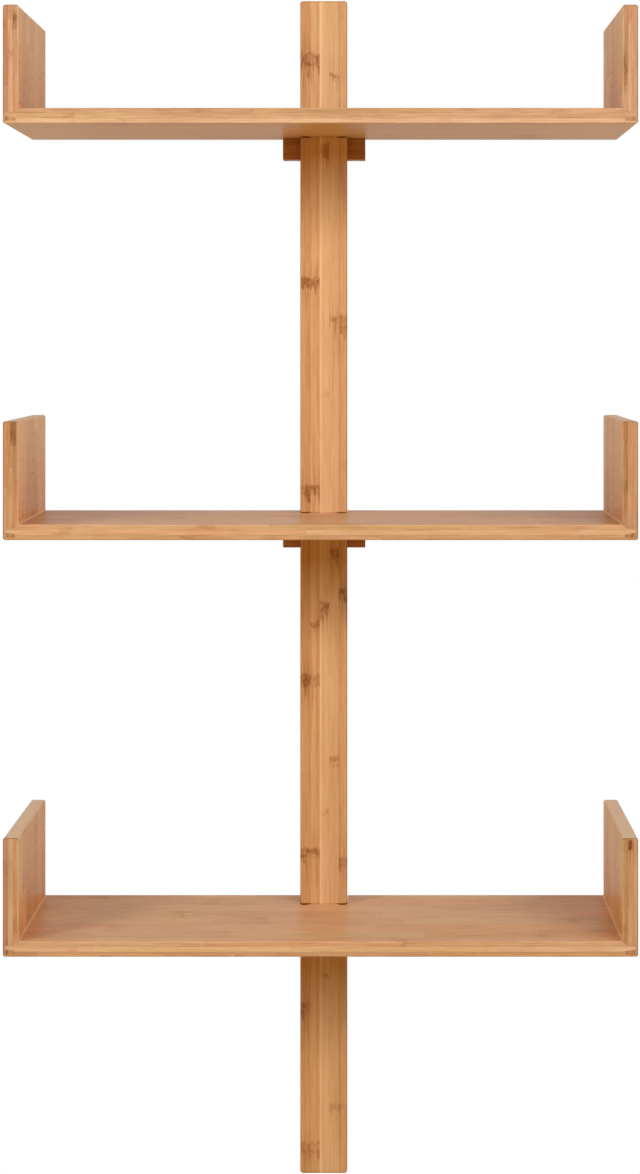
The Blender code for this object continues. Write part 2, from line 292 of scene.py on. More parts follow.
class Tray:
    """Outline and joints of one tray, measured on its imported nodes."""

    def __init__(self, level):
        self.level = level
        left_low, left_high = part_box(level + "_left_panel")
        self.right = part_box(level + "_right_panel")[1].x
        self.front = left_low.y
        self.back = left_high.y
        self.underside = left_low.z
        self.rim = left_high.z
        self.top = self.underside + BOARD_THICKNESS
        post_low, post_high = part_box("post")
        self.notch_front = post_low.y - NOTCH_CLEARANCE
        self.notch_half = (post_high.x - post_low.x) / 2 + NOTCH_CLEARANCE

    def outline(self):
        inner = self.right - PANEL_THICKNESS
        right_half = [
            (self.right, self.underside, CORNER_RADIUS),
            (self.right, self.rim, CORNER_RADIUS),
            (inner, self.rim, CORNER_RADIUS),
            (inner, self.top, COVE_RADIUS),
        ]
        left_half = [(-x, z, radius) for x, z, radius in reversed(right_half)]
        return rounded_outline(right_half + left_half)

    def lock_line(self, sign, distance):
        """Joint line from inside corner to outside corner, moved towards the panel."""
        steps = [Vector((u * PANEL_THICKNESS, v * BOARD_THICKNESS)) for u, v in LOCK_MITRE]
        margin = Vector((CUT_MARGIN, CUT_MARGIN))
        steps[0] = steps[0] + margin
        steps[-1] = steps[-1] - margin
        moved = offset_line(steps, distance)
        return [Vector((sign * (self.right - p.x), self.underside + p.y)) for p in moved]

    def panel_region(self, sign):
        line = self.lock_line(sign, JOINT_GAP / 2)
        above = self.rim + CUT_MARGIN
        return line + [Vector((line[-1].x, above)), Vector((line[0].x, above))]

    def board_region(self):
        left = self.lock_line(-1, -JOINT_GAP / 2)
        right = self.lock_line(1, -JOINT_GAP / 2)
        return left + list(reversed(right))

    def blank(self, name, region):
        """Rounded tray, cut to the region of one of its pieces, and the tool that cuts it."""
        item = prism(name, self.outline(), self.front, self.back)
        round_edges(item, RIM_RADIUS, RIM_STEPS)
        tool = prism("region", region, self.front - CUT_MARGIN, self.back + CUT_MARGIN)
        cut(item, tool, operation="INTERSECT")
        return item, tool

    def panel(self, side):
        name = f"{self.level}_{side}_panel"
        item, tool = self.blank(name + "_plank", self.panel_region(SIDES[side]))
        return settle(item, [tool])

    def board(self):
        item, region = self.blank(self.level + "_board_plank", self.board_region())
        below = self.underside - CUT_MARGIN
        above = self.top + CUT_MARGIN
        near = (-self.notch_half, self.notch_front, below)
        far = (self.notch_half, self.back + CUT_MARGIN, above)
        tools = [box("notch", near, far)]
        for sign in SIDES.values():
            overcut = rod("overcut", OVERCUT_DIAMETER, below, above)
            overcut.location.x = sign * (self.notch_half - OVERCUT_DIAMETER / 2)
            overcut.location.y = self.notch_front + OVERCUT_DIAMETER / 2 - OVERCUT_REACH
            tools.append(overcut)
        tools.extend(screw_holes(self.level, "board"))
        cut(item, *tools)
        return settle(item, [region, *tools])


MIDDLE_TRAY = Tray("middle")


def block(name, node, radius, top=None):
    """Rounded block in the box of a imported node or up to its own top, still to be settled."""
    low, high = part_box(node)
    high.z = top or high.z
    item = box(name, low, high)
    round_edges(item, radius, ARC_STEPS)
    return item


# Hardware


def rounded_rectangle(width, low, high, radius):
    half = width / 2
    return rounded_outline(
        [(half, low, radius), (half, high, radius), (-half, high, radius), (-half, low, radius)]
    )


def slot_outline(width, low, high):
    """Upright slot with round ends, whose end arcs are centred at two heights."""
    return rounded_rectangle(width, low - width / 2, high + width / 2, width / 2)


def cross_outline():
    """Cross-shaped driver recess."""
    arm = RECESS_ARM / 2
    waist = RECESS_WIDTH / 2
    quarter = [Vector((arm, -waist)), Vector((arm, waist)), Vector((waist, waist))]
    outline = []
    for turn in range(4):
        rotation = Matrix.Rotation(math.pi / 2 * turn, 2)
        outline.extend(rotation @ point for point in quarter)
    return outline


def screw_hole(name, length):
    """Countersunk hole for a screw, from above its head down."""
    grow = HARDWARE_CLEARANCE
    head = SCREW_HEAD_DIAMETER / 2
    shank = SCREW_DIAMETER / 2
    radii = {
        -CUT_MARGIN: head + grow,
        SCREW_HEAD_RIM: head + grow,
        SCREW_HEAD_RIM + head - shank: shank + grow,
        length: shank + grow,
    }
    tip = length + shank
    return ringed(name, list(radii), lambda depth, turn: radii[depth], ROUND_STEPS, tip)


def threaded_screw(name, length):
    """Countersunk wood screw from its head down, with a thread and a point."""
    head = SCREW_HEAD_DIAMETER / 2
    shank = SCREW_SHANK_DIAMETER / 2
    root = SCREW_ROOT_DIAMETER / 2
    depth_of_thread = SCREW_DIAMETER / 2 - root
    neck = SCREW_HEAD_RIM + head - shank
    radii = {0: head - SCREW_EDGE, SCREW_EDGE: head, SCREW_HEAD_RIM: head, neck: shank}

    def radius_at(depth, turn):
        if depth in radii:
            return radii[depth]
        phase = (depth / THREAD_PITCH - turn) % 1
        ridge = max(0, 1 - abs(2 * phase - 1) / THREAD_RIDGE_SHARE)
        grown = min(1, max(0, (depth - THREAD_START) / THREAD_PITCH))
        core = root + (shank - root) * (1 - grown)
        taper = min(1, (length - depth) / SCREW_POINT_LENGTH)
        return taper * (core + depth_of_thread * ridge * grown)

    step = THREAD_PITCH / THREAD_PITCH_STEPS
    count = math.floor((length - THREAD_START) / step)
    depths = list(radii) + [THREAD_START + step * number for number in range(count)]
    return ringed(name, depths, radius_at, THREAD_TURN_STEPS, length)


class ScrewKit:
    """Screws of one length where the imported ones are, driven upwards or else forwards."""

    def __init__(self, name, length, upwards):
        self.upwards = upwards
        self.rotation = (math.pi if upwards else -math.pi / 2, 0, 0)
        self.hole_mesh = taken_mesh(screw_hole(name + "_hole", length))
        screw = threaded_screw(name, length)
        recess = prism("recess", cross_outline(), -CUT_MARGIN, RECESS_DEPTH)
        recess.data.transform(Matrix.Rotation(-math.pi / 2, 4, "X"))
        cut(screw, recess)
        self.mesh = taken_mesh(settle(screw, [recess]))

    def head_place(self, node):
        """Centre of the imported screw's head, which is its lowest or its rearmost end."""
        low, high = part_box(node)
        centre = (low + high) / 2
        if self.upwards:
            return Vector((centre.x, centre.y, low.z))
        return Vector((centre.x, high.y, centre.z))

    def put(self, name, mesh, node):
        item = link(name, mesh)
        item.location = self.head_place(node)
        item.rotation_euler = self.rotation
        return item

    def hole(self, node):
        return self.put(node + "_hole", self.hole_mesh, node)

    def screw(self, node):
        item = self.put(node + "_turned", self.mesh, node)
        shade_evenly(item)
        dress(item, "screw_steel", node)


SCREWS = {
    "board": ScrewKit("board_screw", BOARD_SCREW_LENGTH, True),
    "post": ScrewKit("post_screw", POST_SCREW_LENGTH, False),
}


def screw_nodes(level, kind):
    return [f"{level}_{kind}_screw_{side}" for side in SIDES]


def screw_holes(level, kind):
    """Tools that drill for the screws of one kind at one level."""
    return [SCREWS[kind].hole(node) for node in screw_nodes(level, kind)]


def plate_tools(level):
    """Seat of the keyhole plate and the pocket behind it, to cut into the cleat."""
    low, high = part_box(level + "_hanger_plate")
    centre = (low.z + high.z) / 2
    grow = HARDWARE_CLEARANCE
    seat_outline = rounded_rectangle(
        high.x - low.x + 2 * grow, low.z - grow, high.z + grow, PLATE_CORNER_RADIUS + grow
    )
    pocket_outline = slot_outline(
        HEAD_POCKET_WIDTH, centre - KEYHOLE_HEAD_DROP, centre + KEYHOLE_SLOT_RISE
    )
    front = low.y - grow
    back = high.y + CUT_MARGIN
    seat = prism("seat", seat_outline, front, back)
    return [seat, prism("pocket", pocket_outline, front - HEAD_POCKET_DEPTH, back)]


def hanger_plate(level):
    """Keyhole plate with softened edges, a keyhole and two countersunk holes."""
    low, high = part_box(level + "_hanger_plate")
    centre = (low.z + high.z) / 2
    name = level + "_keyhole_plate"
    outline = rounded_rectangle(high.x - low.x, low.z, high.z, PLATE_CORNER_RADIUS)
    plate = prism(name, outline, low.y, high.y)
    front = low.y - CUT_MARGIN
    back = high.y + CUT_MARGIN
    head = centre - KEYHOLE_HEAD_DROP
    slot = slot_outline(KEYHOLE_SLOT_WIDTH, head, centre + KEYHOLE_SLOT_RISE)
    hole = slot_outline(KEYHOLE_HEAD_DIAMETER, head, head)
    tools = [prism("slot", slot, front, back), prism("hole", hole, front, back)]
    tools.extend(screw_holes(level, "post"))
    cut(plate, *tools)
    round_edges(plate, PLATE_EDGE_RADIUS, PLATE_EDGE_STEPS)
    return settle(plate, tools)


def drilled_cleat(level):
    """Cleat with its screw holes, and with the seat of the plate where it hangs."""
    top = Tray(level).underside - CLEAT_GAP
    cleat = block(level + "_cleat_block", level + "_cleat", CLEAT_EDGE_RADIUS, top)
    tools = screw_holes(level, "board") + screw_holes(level, "post")
    if level in HUNG_LEVELS:
        tools.extend(plate_tools(level))
    cut(cleat, *tools)
    return settle(cleat, tools)


def drilled_post():
    """Post with rounded edges and its screw holes."""
    post = block("post_plank", "post", POST_EDGE_RADIUS)
    tools = [hole for level in LEVELS for hole in screw_holes(level, "post")]
    cut(post, *tools)
    return settle(post, tools)


# Node trees


def math_method(operation):
    """Method that works on a value, with others if it takes any, in a further math node."""

    def method(self, *others):
        return self.graph.value("Math", self, *others, operation=operation)

    return method


class Value:
    """What a node gives at each point of a surface."""

    def __init__(self, graph, socket):
        self.graph = graph
        self.socket = socket

    __add__ = __radd__ = math_method("ADD")
    __sub__ = math_method("SUBTRACT")
    __mul__ = __rmul__ = math_method("MULTIPLY")
    __truediv__ = math_method("DIVIDE")
    __lt__ = math_method("LESS_THAN")
    __gt__ = math_method("GREATER_THAN")
    __abs__ = math_method("ABSOLUTE")
    __floor__ = math_method("FLOOR")
    fraction = math_method("FRACT")
    sign = math_method("SIGN")
    greater_of = math_method("MAXIMUM")
    lesser_of = math_method("MINIMUM")
    compare = math_method("COMPARE")

    def __rsub__(self, other):
        return self * -1.0 + other

    def equals(self, number):
        """1 where this whole number is the given one."""
        return self.compare(number, 0.5)

    def smooth(self, start, end):
        """Goes smoothly from 0 at start to 1 at end, which may be below start."""
        return self.graph.value("MapRange", self, start, end, interpolation_type="SMOOTHSTEP")

    def spread(self, at_0, at_1):
        """Goes from one number where this is 0 to another where it is 1."""
        return self * (at_1 - at_0) + at_0

    def between(self, low, high, softness):
        """1 between two limits, which are soft."""
        above = self.smooth(low - softness, low + softness)
        return above * self.smooth(high + softness, high - softness)


def largest(first, *others):
    for other in others:
        first = first.greater_of(other)
    return first


def mixed(features, shares):
    """Sum of the features that a table names, each times its share."""
    return sum(features[name] * share for name, share in shares.items())


class Graph:
    """Short calls that add nodes to a tree and join them."""

    def __init__(self, tree):
        self.tree = tree

    def feed(self, socket, value):
        """A link where the value comes from a node, or else the value itself."""
        if isinstance(value, Value):
            self.tree.links.new(value.socket, socket)
        elif socket.type == "RGBA":
            socket.default_value = (*value, 1.0)
        else:
            socket.default_value = value

    def feed_named(self, node, values):
        for name, value in values.items():
            self.feed(node.inputs[name], value)

    def node(self, kind, *values, **settings):
        """Node with its settings, and with values for its first open inputs."""
        node = self.tree.nodes.new("ShaderNode" + kind)
        for name, setting in settings.items():
            setattr(node, name, setting)
        sockets = [socket for socket in node.inputs if socket.enabled]
        for socket, value in zip(sockets, values):
            self.feed(socket, value)
        return node

    def value(self, kind, *values, **settings):
        """What the first open output of such a node gives."""
        node = self.node(kind, *values, **settings)
        return Value(self, next(socket for socket in node.outputs if socket.enabled))

    def outputs(self, node):
        return {socket.name: Value(self, socket) for socket in node.outputs}

    def source(self, kind):
        """Outputs, by name, of a node that needs no input."""
        return self.outputs(self.node(kind))

    def vector(self, x, y, z):
        return self.value("CombineXYZ", x, y, z)

    def parts(self, vector):
        """The parts of a vector by their letters."""
        return self.outputs(self.node("SeparateXYZ", vector))

    def vector_math(self, operation, *values):
        return self.value("VectorMath", *values, operation=operation)

    def noise(self, place, scales, detail=2.0):
        """Noise about zero, with its own scale along each axis."""
        scaled = self.vector_math("MULTIPLY", place, scales)
        return self.value("TexNoise", scaled, 1.0, detail) - 0.5

    def draw(self, x, y, z):
        """Three random numbers from 0 to 1 for each cell."""
        drawn = self.outputs(self.node("TexWhiteNoise", self.vector(x, y, z)))
        return list(self.parts(drawn["Color"]).values())

    def ramp(self, value, stops, interpolation="LINEAR"):
        """Color ramp from (position, color) stops."""
        node = self.node("ValToRGB", value)
        ramp = node.color_ramp
        ramp.interpolation = interpolation
        while len(ramp.elements) < len(stops):
            ramp.elements.new(1.0)
        for element, (position, color) in zip(ramp.elements, stops):
            element.position = position
            element.color = (*color, 1.0)
        return Value(self, node.outputs["Color"])

    def toward(self, amount, color, other, blend="MIX"):
        """Color drawn towards another, as far as the amount says."""
        return self.value("Mix", amount, color, other, data_type="RGBA", blend_type=blend)

    def tint(self, amount, color, tinted):
        """Color multiplied by a tint, as far as the amount says."""
        return self.toward(amount, color, tinted, "MULTIPLY")

    def bump(self, height, distance):
        node = self.node("Bump")
        self.feed_named(node, {"Distance": distance, "Height": height})
        return Value(self, node.outputs["Normal"])


def new_material(name):
    """Material with one shader, and the graph to build on."""
    material = bpy.data.materials.new(name)
    material.use_nodes = True
    return material, Graph(material.node_tree), material.node_tree.nodes["Principled BSDF"]


# Bamboo

# Base color from dark brown to light tan, and tints of whole faces
BAMBOO_TONES = (
    (0.00, (0.165, 0.052, 0.012)),
    (0.15, (0.260, 0.092, 0.026)),
    (0.35, (0.410, 0.182, 0.068)),
    (0.55, (0.560, 0.288, 0.132)),
    (0.70, (0.675, 0.380, 0.188)),
    (0.85, (0.755, 0.462, 0.246)),
    (1.00, (0.830, 0.540, 0.305)),
)
BASE_TONE = 0.70
BOARD_TINT = (1.035, 0.975, 0.955)
BOARD_FRONT_TINT = (0.995, 1.087, 1.218)
# painted light on the boards' undersides, as a tint
UNDERSIDE_LIGHT_TINT = (0.985, 1.055, 1.230)
PANEL_TINT = (1.0, 1.03, 1.15)
UPPER_FRONT_LIGHT_TINT = (1.0, 1.035, 1.10)  # painted light that makes the upper tray's front edges paler
BOUNCE_SHADE_TINT = (1.12, 0.98, 0.80)  # painted warm shade and bounce light on the panels' faces, strongest at the foot
BOUNCE_SHADE_TOP_SHARE = 0.3
# painted shade: the cleats are tinted darker and warmer
CLEAT_SHADE_TINT = (0.94, 0.83, 0.70)
END_COLOR = (0.84, 0.60, 0.42)
END_COLOR_SHARE = 0.6

# Tints that single strips lean to: which draw decides, from where up, and the tint
LEANINGS = (
    (0, 0.4, (1.02, 0.93, 0.90)),
    (1, 0.6, (0.98, 1.02, 0.90)),
)

# Ranges over which masks of faces and edges go from 0 to 1, in parts of the normal
TURNED_UP = (0.5, 0.9)
TURNED_DOWN = (-0.5, -0.9)
SIDEWAYS = (0.6, 0.3)
ROUNDED = (0.985, 0.85)
END_GRAIN = (0.5, 0.95)
END_RIM_START = (0.12, 0.45)
END_RIM_END = (0.97, 0.75)
POST_END = (0.5, 0.2)
PANEL_AHEAD = (-0.1, -0.4)

# How the planks are laid up
INSIDE = 0.0003
GLUE_EDGE = (0.00033, 0.00011)  # distances from a glue line where it ends and is whole
PLIES = 3
POST_STRIP = 0.0097
POST_STRIP_EDGES = (-0.0240, -0.0137, -0.0040, 0.0057, 0.0154, 0.0240)
POST_TONES = (0.39, 0.49, 0.58, 0.56, 0.48)
POST_TINTS = (
    (1.050, 0.985, 0.910),
    (1.040, 0.995, 0.955),
    (1.000, 1.015, 1.000),
    (0.980, 1.015, 1.005),
    (0.975, 1.005, 0.960),
)
TRAY_STRIP = 0.021
TRAY_PLY = 0.005
TRAY_SEGMENT = 0.19
BOARD_PLY_TONES = (0.41, 0.66, 0.48, 0.44, 0.57, 0.49, 0.60, 0.43, 0.42)  # lowest board up
PANEL_PLY_TONES = (
    (0.40, 0.44, 0.34, 0.33, 0.40, 0.33),  # lowest tray: left then right, each from inner face out
    (0.30, 0.34, 0.33, 0.26, 0.42, 0.40),
    (0.43, 0.44, 0.21, 0.37, 0.39, 0.33),
)
PANEL_OWN_TONES = (0.53, 0.56, 0.50, 0.44, 0.53, 0.50)  # in the order of the rows above
PANEL_FACE_LIGHT_AND_SHADE = (0.24, -0.03)  # painted light at the top and painted shade at the foot of the panels' faces
# Painted light on the boards' tops, stronger on the lowest one, and on their undersides
BOARD_TOP_LIGHT = 0.02
LOWEST_TOP_LIGHT = 0.06
UNDERSIDE_LIGHT = 0.06
TOP_END_SHADE = -0.15  # painted shade on the tops towards the panels, over the reach below
# painted light on the undersides towards the panels
UNDERSIDE_END_LIGHT = 0.17
END_REACH = 0.10
# painted sheen on the panels' tops
PANEL_TOP_SHEEN = 0.08
PANEL_RIM = (0.0024, 0.0018)  # where the faces' tone turns to the front edge's
PANEL_INNER_TOP_SHARE = 0.35  # how much of the painted shade the upper edges keep behind the front
FIRST_STRIP_TONE = 0.10
# painted shade that darkens the cleats all over
CLEAT_SHADE_TONE = -0.26
CLEAT_FOOT_TONE = 0.06
CORNER_HIGHLIGHT = 0.32  # painted highlight, a light line along the inside corners
TONGUE_TONES = (-0.078, -0.162)
TONGUE_TOP = 0.0181
CONTACT_SHADE_TONE = -0.62  # painted shade, a dark line where the post enters a board
CONTACT_SHARE = 0.25  # share of it away from the overcuts
CONTACT_REACH = 0.0011
OVERCUT_SHADE = 0.002  # how far the whole of it goes beyond the overcuts
EDGE_SOFTNESS = 0.0003

# Lines down the post's front beside the middle of its strips: place, half width, change of tone
POST_SEAMS = (
    (-0.0030, 0.0019, 0.20),
    (-0.0063, 0.0011, -0.10),
    (0.0166, 0.0014, -0.07),
)
SEAM_CORE = 0.2  # share of the half width that has the whole change
SEAM_SHARE = 0.9
SEAM_UNEVENNESS = 1.6

# Bamboo's own joints, which grow at about this spacing
NODE_SPACING = 0.31
NODE_HALF_HEIGHT = 0.0085
NODE_RAGGEDNESS = 0.010
RING_SPACING = 0.013
RING_WAVINESS = 0.008
RING_EDGE = (0.0010, 0.0002)
MARKED_DRAWS = (0.3, 0.9)  # draws for which a strip shows its regular node marks
GRAIN_SHIFT = 3.7  # how far at most the grain of two strips is shifted against each other

# Strides that keep apart the numbers of the cells that random numbers are drawn for
LEVEL_STRIDE = 7.0
SIDE_STRIDE = 31.0
SEGMENT_STRIDE = 211.0

# Added to a plank's seed: draws for where its strips start, for its strips and for their cells
START_DRAW = 0.5
STRIP_DRAW = 0.1
CELL_DRAW = 0.2

# Noise in the grain: scale across, scale along, detail, and the range that becomes 0 to 1
CLOUD_SCALES = (60.0, 60.0, 11.0)
FIBRES = {
    "broad": (300.0, 7.0, 2.0),
    "medium": (800.0, 24.0, 2.0),
    "fine": (2300.0, 70.0, 1.0),
    "flames": (480.0, 40.0, 3.0),
    "ragged": (240.0, 60.0, 2.0),
    "waves": (110.0, 25.0, 2.0),
    "patches": (70.0, 30.0, 2.0, -0.02, 0.12),
    "vessels": (1500.0, 38.0, 1.0, 0.12, 0.22),
    "streaks": (560.0, 14.0, 2.0, -0.05, 0.14),
    "mottle": (330.0, 110.0, 2.0, -0.14, 0.12),
    "fingers": (270.0, 22.0, 1.0, -0.16, 0.18),
}

# How far each feature changes the tone, the roughness and the height
TONE_SHARES = {
    "clouds": 0.16,
    "broad": 0.22,
    "vessels": -0.08,
    "node_mark": -0.44,
    "end_rim": -0.16,
}
FINE_TONE_SHARES = {"medium": 0.20, "flames": 0.14, "fine": 0.12}  # times the plank's contrast
ROUGHNESS_SHARES = {"broad": 0.16, "fine": 0.12, "node_mark": 0.06, "end_grain": 0.04}
HEIGHT_SHARES = {
    "fine": 0.5,
    "medium": 0.5,
    "glue": -0.8,
    "vessels": -0.4,
    "rings": -0.4,
    "node_mark": -0.6,
}
BAMBOO_BUMP = 0.00006

# Node marks that the photograph shows on the post's front: first and last strip edge, height
# of the middle, half the height, and strength
POST_MARKS = (
    (0, 2, 0.4887, 0.0107, 0.95),
    (0, 2, 0.2619, 0.0082, 1.00),
    (0, 2, 0.0492, 0.0077, 1.00),
    (0, 2, -0.1454, 0.0092, 1.00),
    (0, 2, -0.3224, 0.0082, 1.00),
    (0, 2, -0.6231, 0.0080, 0.60),
    (0, 1, -0.4808, 0.0087, 0.85),
    (1, 2, -0.0870, 0.0030, 0.80),
    (2, 3, 0.3983, 0.0077, 0.90),
    (2, 3, 0.1478, 0.0036, 0.40),
    # The marks at -0.0705, -0.0156 and -0.0579, just below the middle tray, are real, and made
    # darker as painted shade under the tray
    (2, 3, -0.0705, 0.0087, 1.20),
    (2, 3, -0.2797, 0.0056, 0.45),
    (2, 3, -0.4471, 0.0050, 0.70),
    (3, 4, 0.4726, 0.0056, 0.85),
    (3, 4, -0.0156, 0.0082, 1.15),
    (3, 4, -0.2288, 0.0092, 0.80),
    (4, 5, -0.0579, 0.0092, 1.20),
    (4, 5, -0.3314, 0.0061, 0.80),
    (3, 5, 0.2202, 0.0107, 0.80),
    (3, 5, -0.5808, 0.0051, 0.45),
)

# Marks on the trays' front edges: level, side or 0, lowest and highest place through the
# plies, middle and half length along the grain, strength
BOARD_MARKS = (
    (1, 0, 0.0031, 0.0069, -0.0890, 0.0072, 0.45),
    (1, 0, 0.0070, 0.0118, 0.0620, 0.0096, 0.55),
    (0, 0, 0.0128, 0.0150, -0.1267, 0.0060, 0.60),
    (0, 0, 0.0010, 0.0045, 0.1722, 0.0050, 0.60),
    (-1, 0, 0.0112, 0.0140, -0.2049, 0.0060, 0.60),
    (-1, 0, 0.0096, 0.0120, 0.2518, 0.0050, 0.60),
)
PANEL_MARKS = (
    (0, -1, 0.2925, 0.2980, 0.1146, 0.0125, 0.60),
    (-1, 1, 0.2960, 0.3008, 0.1187, 0.0053, 0.85),
    (1, -1, 0.2910, 0.2958, 0.1100, 0.0075, 0.65),
    (1, 1, 0.2912, 0.2950, 0.0675, 0.0145, 0.60),
)
# Short strips on the panels' front edges: level, side, through the plies, heights, tone
PANEL_SEGMENTS = (
    (0, -1, 0.2920, 0.2978, 0.1021, 0.1262, -0.15),
    (1, -1, 0.2910, 0.2956, 0.1020, 0.1200, -0.10),
    (-1, 1, 0.2949, 0.2988, 0.1138, 0.1240, -0.22),
    (-1, -1, 0.2958, 0.3050, 0.1042, 0.1262, 0.05),
)
FRONT_DEPTH = 0.012
CORNER_LINE = 0.2890  # where the painted highlight begins on the boards
CORNER_SOFTNESS = 0.0010
CORNER_TOP = 0.0016  # how high it reaches on the panels, and how high it is whole
CORNER_CORE = 0.0009
CORNER_DEPTH = 0.004
BOARD_SKIN = 0.002
MARK_SOFTNESS = 0.0006
MARK_INPUTS = ("Side", "Along", "Low", "High", "Centre", "Half", "Finger", "Streak", "Mottle")

# Parts of a node mark. Places and widths are in halves of its height, from its middle.
MARK_LINES = ((0.62, 0.36, 0.75), (-0.35, 0.42, 1.0))  # place, half width and strength
LINE_SHARES = (0.3, 1.0)  # these pairs go from the shortest fingers to the longest
FINGER_MIDDLES = (0.35, -0.35)
FINGER_HALVES = (0.35, 1.45)
FINGER_ENDS = (1.2, 0.5)  # shares of its half length where a finger ends and is whole
FINGER_SHARES = (0.35, 0.85)
TAIL_MIDDLE = -0.6
TAIL_ENDS = (4.6, 0.6)
TAIL_SHARE = 0.42


def node_mark_group():
    """Mask of one bamboo node: dark fingers along the grain, two broken lines and long tails."""
    tree = bpy.data.node_groups.new("node_mark", "ShaderNodeTree")
    for name in MARK_INPUTS:
        tree.interface.new_socket(name, in_out="INPUT", socket_type="NodeSocketFloat")
    tree.interface.new_socket("Mask", in_out="OUTPUT", socket_type="NodeSocketFloat")
    graph = Graph(tree)
    given = graph.outputs(tree.nodes.new("NodeGroupInput"))
    finger = given["Finger"]
    place = (given["Along"] - given["Centre"]) / given["Half"]
    from_finger = abs(place - finger.spread(*FINGER_MIDDLES))
    fingers = (from_finger / finger.spread(*FINGER_HALVES)).smooth(*FINGER_ENDS)
    fingers = fingers * given["Mottle"].spread(*FINGER_SHARES)
    lines = [abs(place - at).smooth(half, 0.0) * amount for at, half, amount in MARK_LINES]
    lines = largest(*lines) * finger.spread(*LINE_SHARES)
    tails = abs(place - TAIL_MIDDLE).smooth(*TAIL_ENDS) * given["Streak"] * TAIL_SHARE
    within = given["Side"].between(given["Low"], given["High"], MARK_SOFTNESS)
    mask = largest(lines, fingers, tails) * within
    graph.feed(tree.nodes.new("NodeGroupOutput").inputs["Mask"], mask)
    return tree


NODE_MARK = node_mark_group()


def level_and_height(z):
    """Number of the tray around a height, and the height as it is in the middle tray."""
    level = math.floor(z / LEVEL_PITCH + 0.5)
    return level, z - level * LEVEL_PITCH


def edge_distance(place, size):
    """Distance to the nearer end of the cell that a place is in, in cells of a size."""
    inside = place.fraction()
    return inside.lesser_of(1.0 - inside) * size


def glue_lines(place, size):
    """1 on the glue lines between cells of a size."""
    return edge_distance(place, size).smooth(*GLUE_EDGE)


